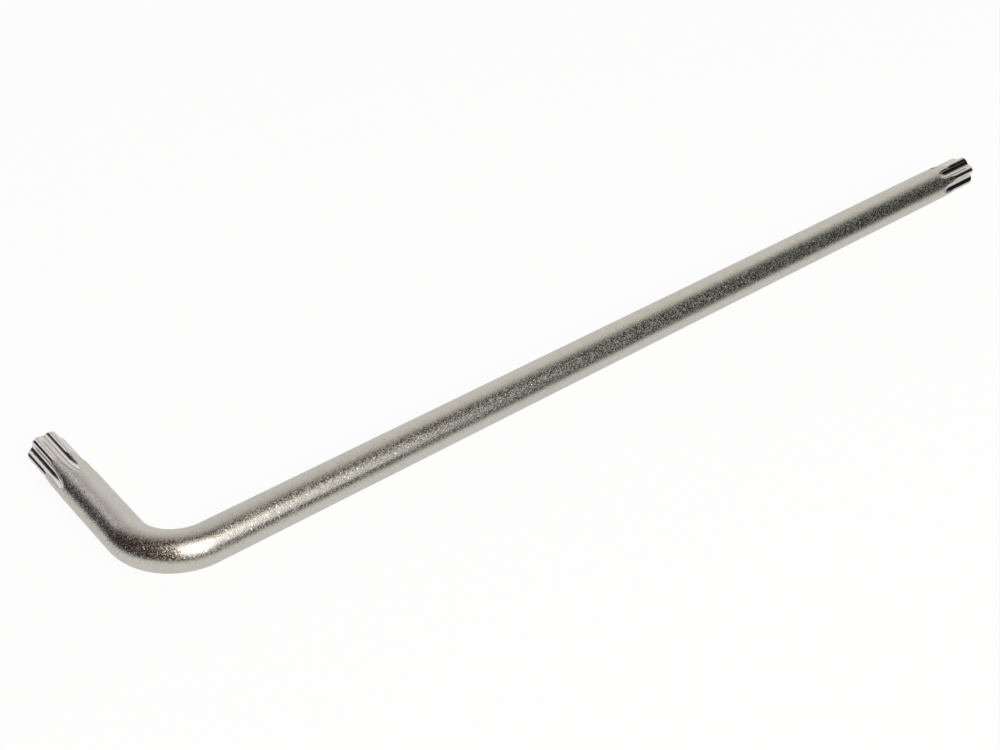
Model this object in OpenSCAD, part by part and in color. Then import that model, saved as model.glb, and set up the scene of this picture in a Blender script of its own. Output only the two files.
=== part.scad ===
// Star key: one round steel bar bent into an L, with a six-lobed star formed on each end.
// The key lies flat on z = 0, with its long arm along +X and its short arm along +Y.

/* [Bar] */
// Diameter of the round bar
bar_d = 4.5; // [4.48:0.01:5]
// Long arm, from the back of the bend to the end of its star
long_arm_l = 132.8; // [60:0.1:250]
// Short arm, from the back of the bend to the end of its star
short_arm_l = 27.1; // [25:0.1:60]
// Radius of the inside of the bend
bend_inner_r = 4; // [2:0.1:6]

/* [Star] */
// Size across the tops of two opposite lobes
star_across_lobes = 4.46; // [4.3:0.01:4.48]
// Size across the floors of two opposite flutes
star_across_flutes = 3.3; // [3:0.01:3.4]
// Radius of the rounded top of a lobe
lobe_r = 0.5; // [0.3:0.01:0.55]
// Width of the chamfer round the end of a star
end_chamfer = 0.38; // [0.05:0.01:0.5]
// Plain round bar between the end of the flutes and the arm
collar_l = 0.3; // [0.1:0.05:1]

/* [Long star] */
// Length over which the long arm's star has its full profile
long_star_l = 4.3; // [2:0.1:8]
// Length over which the long arm's flutes rise out of the bar
long_runout_l = 2; // [1.5:0.1:6]

/* [Short star] */
// Length over which the short arm's star has its full profile
short_star_l = 4.8; // [2:0.1:6]
// Length over which the short arm's flutes rise out of the bar
short_runout_l = 3.2; // [1.5:0.1:6]

/* [Hidden] */
$fn = 96;
// What a cut runs past the surface that it cuts
overrun = 0.5;
bar_r = bar_d / 2;
bend_r = bend_inner_r + bar_r;

// Star profile: six lobe arcs and six flute arcs that run into each other
lobe_count = 6;
lobe_step = 360 / lobe_count;
lobe_to_flute = lobe_step / 2;
star_r = star_across_lobes / 2;
flute_floor_r = star_across_flutes / 2;
lobe_centre_r = star_r - lobe_r;
flute_r = (lobe_centre_r ^ 2 + flute_floor_r ^ 2 - lobe_r ^ 2
        - 2 * lobe_centre_r * flute_floor_r * cos(lobe_to_flute))
    / (2 * (lobe_r - flute_floor_r + lobe_centre_r * cos(lobe_to_flute)));
flute_centre_r = flute_floor_r + flute_r;
// A flute is cut half a micron larger than it touches, so that it crosses the lobes beside it
flute_bite = 0.0005;
flute_cut_r = flute_r + flute_bite;
// The flutes keep their full depth this far past the shoulder where the lobes begin
flute_lap = 0.8;
// The bar draws in towards the star and ends in a shoulder halfway between the bar and the lobes
shoulder_r = (bar_r + star_r) / 2;

// How deep the flutes lie below the round bar, and the length of bar that carries each star
flute_depth = bar_r - flute_floor_r;
long_tip_l = long_star_l + flute_lap + long_runout_l + collar_l;
short_tip_l = short_star_l + flute_lap + short_runout_l + collar_l;

// The axes of the two arms cross at this point, so that the key is centred on the origin
corner = [bar_r - long_arm_l / 2, bar_r - short_arm_l / 2, bar_r];
long_end = long_arm_l - bar_r;
short_end = short_arm_l - bar_r;

satin_steel = [0.76, 0.74, 0.69];
bright_steel = [0.84, 0.84, 0.83];

function direction(angle) = [cos(angle), sin(angle)];

// Lays a shape that is drawn up along +Z out along the long arm, at a distance from the corner
module along_long_arm(distance) {
    translate(corner + [distance, 0, 0]) rotate([0, 90, 0]) children();
}

// Lays a shape that is drawn up along +Z out along the short arm, at a distance from the corner
module along_short_arm(distance) {
    translate(corner + [0, distance, 0]) rotate([-90, 0, 0]) children();
}

module at_each_lobe() {
    for (i = [0:lobe_count - 1]) rotate(i * lobe_step) children();
}

module at_each_flute() {
    rotate(lobe_to_flute) at_each_lobe() children();
}

// The lobes on a core that reaches out between them, where the flutes are still to be cut
module lobes_profile() {
    polygon([
        for (i = [0:lobe_count - 1])
            each [
                lobe_centre_r * direction(i * lobe_step),
                flute_centre_r * direction(i * lobe_step + lobe_to_flute),
            ]
    ]);
    at_each_lobe() translate([lobe_centre_r, 0]) circle(r = lobe_r);
}

// One flute: straight at full depth past the star's shoulder, then curving up out of the bar
module flute_cut(star_l, runout_l) {
    straight_l = star_l + flute_lap;
    floor_sweep_r = (runout_l ^ 2 + flute_depth ^ 2) / (2 * flute_depth);
    sweep_r = floor_sweep_r - flute_r;
    sweep_angle = 2 * asin(runout_l / floor_sweep_r);
    translate([flute_centre_r, 0, -straight_l]) {
        cylinder(r = flute_cut_r, h = straight_l + overrun);
        translate([sweep_r, 0, 0])
            rotate([90, 0, 180])
                mirror([0, 1, 0])
                    rotate_extrude(angle = sweep_angle) translate([sweep_r, 0]) circle(r = flute_cut_r);
    }
}

// Cuts the edges of a star's end face, which is at z = 0, back to a chamfer
module chamfer_cut() {
    rotate_extrude()
        polygon([
            [star_r - end_chamfer - overrun, overrun],
            [star_r + overrun, overrun],
            [star_r + overrun, -end_chamfer - overrun],
        ]);
}

// A star on the end of a bar, with its end face at z = 0 and the bar below it
module star_tip(star_l, runout_l, tip_l) {
    difference() {
        union() {
            translate([0, 0, -star_l]) linear_extrude(star_l) lobes_profile();
            translate([0, 0, -tip_l]) cylinder(r1 = bar_r, r2 = shoulder_r, h = tip_l - star_l);
        }
        at_each_flute() flute_cut(star_l, runout_l);
        chamfer_cut();
    }
}

// The straight bar of the long arm
module long_arm() {
    color(satin_steel) along_long_arm(bend_r) cylinder(r = bar_r, h = long_end - long_tip_l - bend_r);
}

// The quarter bend between the arms
module elbow() {
    color(satin_steel)
        translate(corner + [bend_r, bend_r, 0])
            rotate(180) rotate_extrude(angle = 90) translate([bend_r, 0]) circle(r = bar_r);
}

// The straight bar of the short arm
module short_arm() {
    color(satin_steel) along_short_arm(bend_r) cylinder(r = bar_r, h = short_end - short_tip_l - bend_r);
}

// The star on the long arm, with a lobe at the top and the bottom
module long_star_tip() {
    color(bright_steel) along_long_arm(long_end) star_tip(long_star_l, long_runout_l, long_tip_l);
}

// The star on the short arm, with a lobe at each side
module short_star_tip() {
    color(bright_steel) along_short_arm(short_end) star_tip(short_star_l, short_runout_l, short_tip_l);
}

long_arm();
elbow();
short_arm();
long_star_tip();
short_star_tip();
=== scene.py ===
# Star key: a round steel bar bent into an L, with a six-lobed star formed on each end.
# It lies flat on z = 0, with its long arm along +X and its short arm along +Y. Lengths are in metres.
import math

import bmesh
import bpy
import numpy as np
from mathutils import Matrix, Vector


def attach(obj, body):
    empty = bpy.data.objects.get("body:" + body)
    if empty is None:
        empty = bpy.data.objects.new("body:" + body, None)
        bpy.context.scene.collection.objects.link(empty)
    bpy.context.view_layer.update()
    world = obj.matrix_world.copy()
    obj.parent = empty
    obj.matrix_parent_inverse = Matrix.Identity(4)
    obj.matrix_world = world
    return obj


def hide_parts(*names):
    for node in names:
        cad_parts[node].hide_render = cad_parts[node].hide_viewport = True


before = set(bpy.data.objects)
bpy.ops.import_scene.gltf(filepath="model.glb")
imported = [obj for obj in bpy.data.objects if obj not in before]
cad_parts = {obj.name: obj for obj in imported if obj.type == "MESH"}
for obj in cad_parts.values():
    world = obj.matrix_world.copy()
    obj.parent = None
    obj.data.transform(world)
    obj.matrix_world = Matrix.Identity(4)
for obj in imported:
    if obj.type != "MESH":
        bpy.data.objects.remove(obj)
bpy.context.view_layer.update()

# Camera: it stands off the near end of the key, to the left of the short arm, and looks down along the
# long arm. Its place and lens were found from the outline of the key in a picture of 1000 by 750 pixels.
camera_data = bpy.data.cameras.new("camera")
camera_data.sensor_width = 36
camera_data.lens = 53.774
camera_data.clip_start = 0.01
camera = bpy.data.objects.new("camera", camera_data)
camera_pitch = 36.327
camera_yaw = 39.248
camera.location = (-0.1063, -0.1173, 0.10627)
camera.rotation_euler = (math.radians(90 - camera_pitch), 0, math.radians(-camera_yaw))
scene = bpy.context.scene
scene.collection.objects.link(camera)
scene.camera = camera
scene.view_settings.view_transform = "Standard"


# Studio: a white paper sweep stands behind the key and to its right. The room in front and to the left is
# dark, with a warm wall up to the left. The metal mirrors them all, so that the bar is pale at its edges
# and dark along its middle.
def add_node(tree, kind, settings=None, inputs=None):
    """Adds a node, gives it its settings, and sets or links its inputs."""
    node = tree.nodes.new(kind)
    for name, value in (settings or {}).items():
        setattr(node, name, value)
    for name, value in (inputs or {}).items():
        if isinstance(value, bpy.types.NodeSocket):
            tree.links.new(value, node.inputs[name])
        else:
            node.inputs[name].default_value = value
    return node


def linear(hex_colour):
    """Turns an sRGB hex colour into linear light, with an alpha of 1."""
    shares = [int(hex_colour[i:i + 2], 16) / 255 for i in (1, 3, 5)]
    return [s / 12.92 if s <= 0.04045 else ((s + 0.055) / 1.055) ** 2.4 for s in shares] + [1]


def set_ramp(ramp, stops):
    """Gives a colour ramp its stops, each a place from 0 to 1 and a hex colour."""
    while len(ramp.elements) < len(stops):
        ramp.elements.new(1)
    for element, (place, colour) in zip(ramp.elements, stops):
        element.position = place
        element.color = linear(colour)


world = bpy.data.worlds.new("studio")
world.use_nodes = True
scene.world = world
tree = world.node_tree
tree.nodes.clear()
sweep_azimuth = math.radians(70.5)
sweep_towards = (math.cos(sweep_azimuth), math.sin(sweep_azimuth), 0)
direction = add_node(tree, "ShaderNodeTexCoord").outputs["Generated"]
facing_sweep = add_node(
    tree, "ShaderNodeVectorMath", {"operation": "DOT_PRODUCT"}, {0: direction, 1: sweep_towards}
)
share = add_node(
    tree,
    "ShaderNodeMapRange",
    {},
    {"Value": facing_sweep.outputs["Value"], "From Min": -1.0, "From Max": 1.0},
)
room = add_node(tree, "ShaderNodeValToRGB", {}, {"Fac": share.outputs["Result"]})
set_ramp(
    room.color_ramp,
    [(0.0, "#181B1D"), (0.475, "#1C1F1D"), (0.595, "#B4BCB8"), (0.715, "#FFF8F2"), (1.0, "#FFFFFF")],
)
right_towards = Vector((0.9, 0.4, 0.1)).normalized()
sweep_ends_at = -0.2
sweep_full_at = 0.75
dark_side = "#232329"
facing_right = add_node(
    tree, "ShaderNodeVectorMath", {"operation": "DOT_PRODUCT"}, {0: direction, 1: right_towards}
)
sweep_share = add_node(
    tree,
    "ShaderNodeMapRange",
    {},
    {"Value": facing_right.outputs["Value"], "From Min": sweep_ends_at, "From Max": sweep_full_at},
)
sweep_seen = add_node(
    tree,
    "ShaderNodeMix",
    {"data_type": "RGBA"},
    {0: sweep_share.outputs["Result"], 6: linear(dark_side), 7: room.outputs["Color"]},
)
warm_towards = Vector((-0.69, -0.28, 0.67)).normalized()
warm_ends_at = 0.55
warm_full_at = 0.9
warm_wall = "#46302A"
facing_warm = add_node(
    tree, "ShaderNodeVectorMath", {"operation": "DOT_PRODUCT"}, {0: direction, 1: warm_towards}
)
warm_share = add_node(
    tree,
    "ShaderNodeMapRange",
    {},
    {"Value": facing_warm.outputs["Value"], "From Min": warm_ends_at, "From Max": warm_full_at},
)
walls = add_node(
    tree,
    "ShaderNodeMix",
    {"data_type": "RGBA"},
    {0: warm_share.outputs["Result"], 6: sweep_seen.outputs[2], 7: linear(warm_wall)},
)
light_path = add_node(tree, "ShaderNodeLightPath")
seen_through = add_node(
    tree,
    "ShaderNodeMath",
    {"operation": "MAXIMUM"},
    {0: light_path.outputs["Is Camera Ray"], 1: light_path.outputs["Is Transmission Ray"]},
)
backdrop = add_node(
    tree,
    "ShaderNodeMix",
    {"data_type": "RGBA"},
    {0: seen_through.outputs["Value"], 6: walls.outputs[2], 7: linear("#FFFFFF")},
)
background = add_node(
    tree, "ShaderNodeBackground", {}, {"Color": backdrop.outputs[2], "Strength": 1.0}
)
add_node(tree, "ShaderNodeOutputWorld", {}, {"Surface": background.outputs["Background"]})

# Softbox: a tall lamp in front of the key, above and a little to the left of the bend.
# It gives the bright patch on the bend and the sparkle along the near half of the long arm.
lamp_aim = Vector((-0.055, 0, 0))


def add_lamp(name, width, tall, energy, colour, azimuth, rise, distance, aim):
    """Adds a rectangular lamp that faces a point. Azimuth 0 is in front of the key and 90 to its right."""
    data = bpy.data.lights.new(name, "AREA")
    data.shape = "RECTANGLE"
    data.size = width
    data.size_y = tall
    data.energy = energy
    data.color = linear(colour)[:3]
    lamp = bpy.data.objects.new(name, data)
    turn = math.radians(azimuth)
    climb = math.radians(rise)
    towards = Vector((
        math.sin(turn) * math.cos(climb),
        -math.cos(turn) * math.cos(climb),
        math.sin(climb),
    ))
    lamp.location = aim + towards * distance
    lamp.rotation_mode = "QUATERNION"
    lamp.rotation_quaternion = towards.to_track_quat("Z", "Y")
    scene.collection.objects.link(lamp)


add_lamp(
    name="softbox",
    width=0.3,
    tall=0.43,
    energy=3.4,
    colour="#FFF7EE",
    azimuth=-8,
    rise=38,
    distance=0.7,
    aim=lamp_aim,
)

# Wall: the pale wall behind the softbox, lit by what spills past the lamp. Its dim image lies round the
# lamp's own, so that the bright patch on the bend fades out softly.
add_lamp(
    name="wall",
    width=0.56,
    tall=1.2,
    energy=2.2,
    colour="#FFF4EC",
    azimuth=-8,
    rise=38,
    distance=0.75,
    aim=lamp_aim,
)

# Panel: a dim white board that stands to the right of the softbox and catches its light.
# Its soft image carries the sparkle on along the middle of the long arm.
add_lamp(
    name="panel",
    width=0.2,
    tall=0.6,
    energy=0.43,
    colour="#F3F6F9",
    azimuth=20,
    rise=31,
    distance=0.7,
    aim=lamp_aim,
)

# Backlight: a tall lamp behind the key and a little to its left, nearly as bright as the sweep.
# It gives the white streaks in the flutes and the soft sheen on top of the short arm.
backlight_aim = Vector((-0.06, 0, 0))
add_lamp(
    name="backlight",
    width=0.25,
    tall=0.55,
    energy=0.36,
    colour="#F6F5FF",
    azimuth=196,
    rise=21,
    distance=0.7,
    aim=backlight_aim,
)

# Floor: a broad sheet of white paper that the key lies on. It shows white, and the light that falls on it
# is left in part, so that the key keeps its shadow. In front of the key and to its left, a painted shade
# makes the sheet a dark glow to glossy rays only, so that the metal mirrors it dim there though the sheet
# is lit.
floor_half = 1.5
floor_shape = bmesh.new()
bmesh.ops.create_grid(floor_shape, x_segments=1, y_segments=1, size=floor_half)
floor_mesh = bpy.data.meshes.new("floor")
floor_shape.to_mesh(floor_mesh)
floor_shape.free()
floor = bpy.data.objects.new("floor", floor_mesh)
scene.collection.objects.link(floor)
white_paper = bpy.data.materials.new("white_paper")
white_paper.use_nodes = True
tree = white_paper.node_tree
tree.nodes.clear()
light_path = add_node(tree, "ShaderNodeLightPath")
seen = light_path.outputs["Is Camera Ray"]
for kind in ("Is Glossy Ray", "Is Transmission Ray"):
    seen = add_node(
        tree, "ShaderNodeMath", {"operation": "MAXIMUM"}, {0: seen, 1: light_path.outputs[kind]}
    ).outputs["Value"]
plain_white_share = 0.94
glow_share = add_node(
    tree, "ShaderNodeMath", {"operation": "MULTIPLY"}, {0: seen, 1: plain_white_share}
)
paper = add_node(tree, "ShaderNodeBsdfDiffuse", {}, {"Color": linear("#F4F4F4")})
glow = add_node(tree, "ShaderNodeEmission", {}, {"Color": linear("#FFFFFF"), "Strength": 1.0})
paper_seen = add_node(
    tree,
    "ShaderNodeMixShader",
    {},
    {0: glow_share.outputs["Value"], 1: paper.outputs["BSDF"], 2: glow.outputs["Emission"]},
)
sheet_place = add_node(
    tree, "ShaderNodeSeparateXYZ", {}, {"Vector": add_node(tree, "ShaderNodeTexCoord").outputs["Object"]}
)
# Where the painted shade lies on the sheet: left of the short arm and in front of the long arm, fading in
# over a centimetre.
painted_shade_left_of = -0.078
painted_shade_in_front_of = -0.0155
painted_shade_fade = 0.01
painted_shade_strength = 0.9
past_short_arm = add_node(
    tree, "ShaderNodeMath", {"operation": "SUBTRACT"}, {0: painted_shade_left_of, 1: sheet_place.outputs["X"]}
)
past_long_arm = add_node(
    tree, "ShaderNodeMath", {"operation": "SUBTRACT"}, {0: painted_shade_in_front_of, 1: sheet_place.outputs["Y"]}
)
past_key = add_node(
    tree,
    "ShaderNodeMath",
    {"operation": "MAXIMUM"},
    {0: past_short_arm.outputs["Value"], 1: past_long_arm.outputs["Value"]},
)
painted_shade_area = add_node(
    tree,
    "ShaderNodeMapRange",
    {"interpolation_type": "SMOOTHSTEP"},
    {"Value": past_key.outputs["Value"], "From Max": painted_shade_fade, "To Max": painted_shade_strength},
)
painted_shade_share = add_node(
    tree,
    "ShaderNodeMath",
    {"operation": "MULTIPLY"},
    {0: painted_shade_area.outputs["Result"], 1: light_path.outputs["Is Glossy Ray"]},
)
# Painted shade: a dark glow that glossy rays see on the sheet in front of and left of the key, in place of
# the lit white paper.
dim = add_node(tree, "ShaderNodeEmission", {}, {"Color": linear("#2C2E2E"), "Strength": 1.0})
paper_with_painted_shade = add_node(
    tree,
    "ShaderNodeMixShader",
    {},
    {0: painted_shade_share.outputs["Value"], 1: paper_seen.outputs["Shader"], 2: dim.outputs["Emission"]},
)
add_node(tree, "ShaderNodeOutputMaterial", {}, {"Surface": paper_with_painted_shade.outputs["Shader"]})
floor_mesh.materials.append(white_paper)


# Long arm: the straight length of the round bar, drawn steel of 4.5 mm diameter. After forming, the key is
# blasted with fine beads and plated, which leaves a warm satin surface of small facets.
mm = 0.001
bar_r = 2.25 * mm
corner = Vector((-64.15, -11.3, 2.25)) * mm
bend_r = 6.25 * mm
long_end = 130.55 * mm
long_tip_l = 7.4 * mm
round_segments = 128

# Satin nickel-chrome plating on blasted steel: small facets lean every way under a soft gloss, a few of
# them far, so that pale surroundings mirror smoothly and dark ones break up into a sparkling grain. The
# facets are drawn wider than blasting leaves them, so that they show.
satin_plating = bpy.data.materials.new("satin_plating")
satin_plating.use_nodes = True
tree = satin_plating.node_tree
tree.nodes.clear()
place = add_node(tree, "ShaderNodeTexCoord").outputs["Object"]
facet_width = 0.11 * mm
facet_lean = 1.6
lean_exponent = 3.0
facet_tone_share = 0.35
dull_from = 0.4
smooth_roughness = 0.24
dull_roughness = 0.52
facets = add_node(
    tree, "ShaderNodeTexVoronoi", {"feature": "F1"}, {"Vector": place, "Scale": 1 / facet_width}
)
lean = add_node(
    tree,
    "ShaderNodeVectorMath",
    {"operation": "SUBTRACT"},
    {0: facets.outputs["Color"], 1: (0.5, 0.5, 0.5)},
)
lean_square = add_node(
    tree,
    "ShaderNodeVectorMath",
    {"operation": "DOT_PRODUCT"},
    {0: lean.outputs["Vector"], 1: lean.outputs["Vector"]},
)
lean_power = add_node(
    tree, "ShaderNodeMath", {"operation": "POWER"}, {0: lean_square.outputs["Value"], 1: lean_exponent}
)
lean_share = add_node(
    tree, "ShaderNodeMath", {"operation": "MULTIPLY"}, {0: lean_power.outputs["Value"], 1: facet_lean}
)
lean_here = add_node(
    tree,
    "ShaderNodeVectorMath",
    {"operation": "SCALE"},
    {0: lean.outputs["Vector"], "Scale": lean_share.outputs["Value"]},
)
leaning = add_node(
    tree,
    "ShaderNodeVectorMath",
    {"operation": "ADD"},
    {
        0: lean_here.outputs["Vector"],
        1: add_node(tree, "ShaderNodeNewGeometry").outputs["Normal"],
    },
)
facet_normal = add_node(
    tree, "ShaderNodeVectorMath", {"operation": "NORMALIZE"}, {0: leaning.outputs["Vector"]}
)
cloud_width = 1.4 * mm
clouds = add_node(
    tree,
    "ShaderNodeTexNoise",
    {},
    {"Vector": place, "Scale": 1 / cloud_width, "Detail": 3.0, "Roughness": 0.6},
)
facet_value = add_node(
    tree, "ShaderNodeSeparateColor", {}, {"Color": facets.outputs["Color"]}
).outputs["Red"]
speckle = add_node(
    tree,
    "ShaderNodeMix",
    {"data_type": "FLOAT"},
    {0: facet_tone_share, 2: clouds.outputs["Fac"], 3: facet_value},
)
tone = add_node(tree, "ShaderNodeValToRGB", {}, {"Fac": speckle.outputs[0]})
set_ramp(tone.color_ramp, [(0.25, "#BEBBB3"), (0.75, "#CAC7BF")])
gloss = add_node(
    tree,
    "ShaderNodeMapRange",
    {},
    {"Value": facet_value, "From Min": dull_from, "To Min": smooth_roughness, "To Max": dull_roughness},
)
satin = add_node(
    tree,
    "ShaderNodeBsdfPrincipled",
    {},
    {
        "Base Color": tone.outputs["Color"],
        "Metallic": 1.0,
        "Specular Tint": linear("#EEEEEE"),
        "Roughness": gloss.outputs["Result"],
        "Normal": facet_normal.outputs["Vector"],
    },
)
add_node(tree, "ShaderNodeOutputMaterial", {}, {"Surface": satin.outputs["BSDF"]})


def finish_piece(name, shape, materials, node):
    """Makes a bmesh a piece of the key that rides on it and stands for a node of the solid model."""
    for edge in shape.edges:
        edge.smooth = len(edge.link_faces) == 2 and all(f.smooth for f in edge.link_faces)
    mesh = bpy.data.meshes.new(name)
    shape.to_mesh(mesh)
    shape.free()
    for material in materials:
        mesh.materials.append(material)
    piece = bpy.data.objects.new(name, mesh)
    scene.collection.objects.link(piece)
    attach(piece, "root")
    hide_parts(node)
    return piece


def round_bar(length, place):
    """A straight round bar from the origin up +Z, set in its place, with flat ends."""
    shape = bmesh.new()
    bmesh.ops.create_cone(
        shape,
        cap_ends=True,
        segments=round_segments,
        radius1=bar_r,
        radius2=bar_r,
        depth=length,
        matrix=place @ Matrix.Translation((0, 0, length / 2)),
    )
    for face in shape.faces:
        face.smooth = len(face.verts) == 4
    return shape


along_long_arm = Matrix.Translation(corner) @ Matrix.Rotation(math.radians(90), 4, "Y")
long_arm = round_bar(
    long_end - long_tip_l - bend_r, along_long_arm @ Matrix.Translation((0, 0, bend_r))
)
finish_piece("long_bar", long_arm, [satin_plating], "long_arm")

# Elbow: the quarter turn, bent cold round a 4 mm former before the key is hardened, blasted and plated.
# It has the bar's own section all the way round.
bend_steps = 96
bend = bmesh.new()
bmesh.ops.create_circle(
    bend,
    cap_ends=True,
    segments=round_segments,
    radius=bar_r,
    matrix=along_long_arm @ Matrix.Translation((0, 0, bend_r)),
)
bmesh.ops.spin(
    bend,
    geom=bend.verts[:] + bend.edges[:] + bend.faces[:],
    cent=corner + Vector((bend_r, bend_r, 0)),
    axis=(0, 0, 1),
    angle=math.radians(-90),
    steps=bend_steps,
)
bmesh.ops.recalc_face_normals(bend, faces=bend.faces)
for face in bend.faces:
    face.smooth = len(face.verts) == 4
finish_piece("bend", bend, [satin_plating], "elbow")

# Short arm: the straight length of bar between the bend and the short star, with the same satin plating.
# It is a piece of its own beside the bend, and its grain runs on from the bend's without a seam.
short_end = 24.85 * mm
short_tip_l = 9.1 * mm
along_short_arm = Matrix.Translation(corner) @ Matrix.Rotation(math.radians(-90), 4, "X")
short_arm = round_bar(
    short_end - short_tip_l - bend_r, along_short_arm @ Matrix.Translation((0, 0, bend_r))
)
finish_piece("short_bar", short_arm, [satin_plating], "short_arm")

# Star tips: six flutes pressed into each end of the bar leave six rounded lobes. The flutes curve up out of
# the bar at their inner ends, and the end face has a small chamfer on the lobes.
star_r = 2.23 * mm
flute_floor_r = 1.65 * mm
lobe_r = 0.5 * mm
lobe_centre_r = star_r - lobe_r
lobe_step = math.radians(60)
half_step = lobe_step / 2
flute_r = (
    lobe_centre_r ** 2 + flute_floor_r ** 2 - lobe_r ** 2
    - 2 * lobe_centre_r * flute_floor_r * math.cos(half_step)
) / (2 * (lobe_r - flute_floor_r + lobe_centre_r * math.cos(half_step)))
flute_centre_r = flute_floor_r + flute_r
lobe_centre = Vector((math.cos(half_step), math.sin(half_step))) * lobe_centre_r
to_lobe = lobe_centre - Vector((flute_centre_r, 0))
flute_to_lobe = math.atan2(to_lobe.y, -to_lobe.x)
flute_depth = bar_r - flute_floor_r
flute_lap = 0.8 * mm
shoulder_r = (bar_r + star_r) / 2
shoulder_half = 0.9 * mm
tongue_l = 0.45 * mm
end_chamfer = 0.38 * mm
end_edge_r = 0.04 * mm
flute_columns = 16
land_columns = 8
half_columns = flute_columns + land_columns
ring_shares = (0, 0.03, 0.07, 0.2, 0.36, 0.94, 1)
rings = 150
halvings = 40
steepest_turn = math.radians(89)
least_opened = 0.05
long_star_l = 4.3 * mm
long_runout_l = 2 * mm
short_star_l = 4.8 * mm
short_runout_l = 3.2 * mm

# Bright plating on the stars: the press leaves flutes and lobes smooth, so they mirror the room sharply,
# with faint ripples.
bright_plating = bpy.data.materials.new("bright_plating")
bright_plating.use_nodes = True
tree = bright_plating.node_tree
tree.nodes.clear()
place = add_node(tree, "ShaderNodeTexCoord").outputs["Object"]
ripple_width = 0.5 * mm
ripple_height = 0.012 * mm
ripples = add_node(
    tree,
    "ShaderNodeTexNoise",
    {},
    {"Vector": place, "Scale": 1 / ripple_width, "Detail": 2.0, "Roughness": 0.5},
)
ripple_bump = add_node(
    tree,
    "ShaderNodeBump",
    {},
    {"Height": ripples.outputs["Fac"], "Strength": 1.0, "Distance": ripple_height},
)
sheen = add_node(
    tree,
    "ShaderNodeMapRange",
    {},
    {"Value": ripples.outputs["Fac"], "From Min": 0.3, "From Max": 0.7, "To Min": 0.08, "To Max": 0.14},
)
bright = add_node(
    tree,
    "ShaderNodeBsdfPrincipled",
    {},
    {
        "Base Color": linear("#CAC6C1"),
        "Metallic": 1.0,
        "Roughness": sheen.outputs["Result"],
        "Normal": ripple_bump.outputs["Normal"],
    },
)
add_node(tree, "ShaderNodeOutputMaterial", {}, {"Surface": bright.outputs["BSDF"]})


def half_profile(s, star_l, runout_l, tip_l):
    """Points of a star's section at a distance s from its end, from a flute's middle to a lobe's middle."""
    bar_here = bar_r + (shoulder_r - bar_r) * min(1, (tip_l - s) / (tip_l - star_l))
    floor_sweep_r = (runout_l ** 2 + flute_depth ** 2) / (2 * flute_depth)
    past_straight = max(0, s - star_l - flute_lap)

    def flute_point(turn):
        reach = floor_sweep_r - flute_r + flute_r * math.cos(turn)
        drop = math.sqrt(max(0, reach ** 2 - past_straight ** 2))
        return Vector((flute_floor_r + floor_sweep_r - drop, flute_r * math.sin(turn)))

    def bar_point(turn):
        return Vector((math.cos(turn), math.sin(turn))) * bar_here

    def lobe_point(share):
        turn = -flute_to_lobe + (flute_to_lobe + half_step) * share
        return lobe_centre + Vector((math.cos(turn), math.sin(turn))) * lobe_r

    even_turn = half_step * flute_columns / half_columns
    if flute_point(0).length >= bar_here:
        exit_s = star_l + flute_lap + runout_l
        opened = min(1, max(least_opened, (s - exit_s) / (tip_l - exit_s)))
        edge_turn = even_turn * opened
        flute = [bar_point(edge_turn * j / flute_columns) for j in range(flute_columns)]
        land_turn = half_step - edge_turn
        land = [bar_point(edge_turn + land_turn * j / land_columns) for j in range(land_columns + 1)]
        return flute + land
    low = 0
    high = steepest_turn
    for _ in range(halvings):
        middle = (low + high) / 2
        if flute_point(middle).length < bar_here:
            low = middle
        else:
            high = middle
    share = min(1, max(0, (s - star_l + shoulder_half) / (2 * shoulder_half)))
    share = share * share * (3 - 2 * share)
    rim_turn = flute_to_lobe + (low - flute_to_lobe) * share
    flute = [flute_point(rim_turn * j / flute_columns) for j in range(flute_columns + 1)]
    rim = flute_point(low)
    rim_angle = math.atan2(rim.y, rim.x)
    land = []
    for j in range(1, land_columns + 1):
        on_bar = bar_point(rim_angle + (half_step - rim_angle) * j / land_columns)
        land.append(lobe_point(j / land_columns).lerp(on_bar, share))
    points = flute + land
    chamfer_r = star_r - end_chamfer + s
    rounding = max(0, end_edge_r - s)
    inset = end_edge_r - math.sqrt(end_edge_r ** 2 - rounding ** 2)
    return [p * ((min(p.length, chamfer_r) - inset) / p.length) for p in points]


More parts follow.
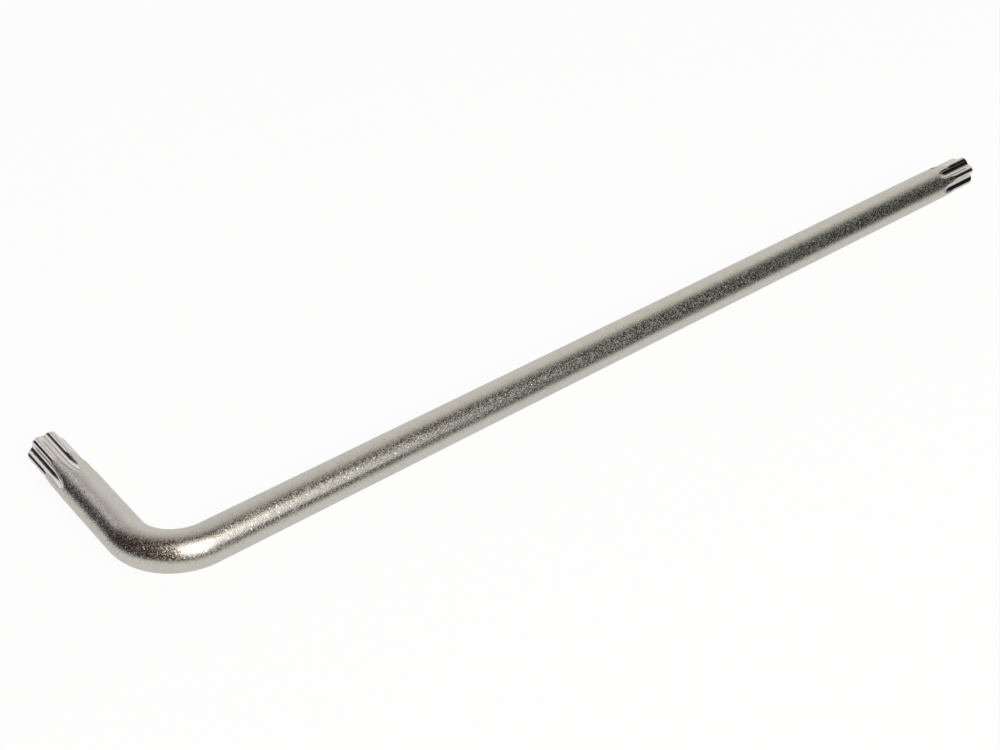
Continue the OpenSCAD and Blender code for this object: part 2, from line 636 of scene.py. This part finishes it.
def star_tip(star_l, runout_l, tip_l, place):
    """A bar's end with a star pressed into it, drawn with its end face at z = 0 and the bar below it."""
    exit_s = star_l + flute_lap + runout_l
    stations = (0, end_edge_r, end_chamfer, star_l - shoulder_half, star_l + shoulder_half, exit_s, tip_l)
    shape = bmesh.new()
    bmesh.ops.create_cone(
        shape,
        cap_ends=True,
        segments=12 * half_columns,
        radius1=bar_r,
        radius2=bar_r,
        depth=tip_l,
        matrix=Matrix.Translation((0, 0, -tip_l / 2)),
    )
    lengthwise = [e for e in shape.edges if abs(e.verts[0].co.z - e.verts[1].co.z) > tip_l / 2]
    bmesh.ops.subdivide_edgering(shape, edges=lengthwise, cuts=rings - 1, interp_mode="LINEAR")
    profiles = []
    for ring in range(rings + 1):
        s = float(np.interp(ring / rings, ring_shares, stations))
        profiles.append((s, half_profile(s, star_l, runout_l, tip_l)))
    column_of = {}
    for vert in shape.verts:
        ring = round(-vert.co.z / tip_l * rings)
        angle = math.atan2(vert.co.y, vert.co.x)
        flute_angle = (math.floor(angle / lobe_step) + 0.5) * lobe_step
        column = round((angle - flute_angle) / half_step * half_columns)
        s, points = profiles[ring]
        point = points[abs(column)]
        turned = Matrix.Rotation(flute_angle, 2) @ Vector((point.x, math.copysign(point.y, column)))
        vert.co = (turned.x, turned.y, -s)
        column_of[vert] = (abs(column), s)
    rims = [
        v for v in shape.verts
        if column_of[v][0] == flute_columns and star_l < column_of[v][1] < exit_s
    ]
    bmesh.ops.smooth_vert(shape, verts=rims, factor=0.5, use_axis_x=True, use_axis_y=True, use_axis_z=True)
    for face in shape.faces:
        face.smooth = len(face.verts) == 4
        column = sum(column_of[v][0] for v in face.verts) / len(face.verts)
        s = sum(column_of[v][1] for v in face.verts) / len(face.verts)
        off_middle = max(0, half_columns - column) / land_columns
        bright_to = exit_s if column < flute_columns else star_l + tongue_l * off_middle ** 2
        face.material_index = 1 if face.smooth and s < bright_to else 0
    ends = [f for f in shape.faces if not f.smooth]
    bmesh.ops.poke(shape, faces=ends)
    bmesh.ops.recalc_face_normals(shape, faces=shape.faces)
    bmesh.ops.transform(shape, matrix=place, verts=shape.verts)
    return shape


at_long_end = along_long_arm @ Matrix.Translation((0, 0, long_end))
long_star = star_tip(long_star_l, long_runout_l, long_tip_l, at_long_end)
finish_piece("long_star", long_star, [satin_plating, bright_plating], "long_star_tip")
at_short_end = along_short_arm @ Matrix.Translation((0, 0, short_end))
short_star = star_tip(short_star_l, short_runout_l, short_tip_l, at_short_end)
finish_piece("short_star", short_star, [satin_plating, bright_plating], "short_star_tip")
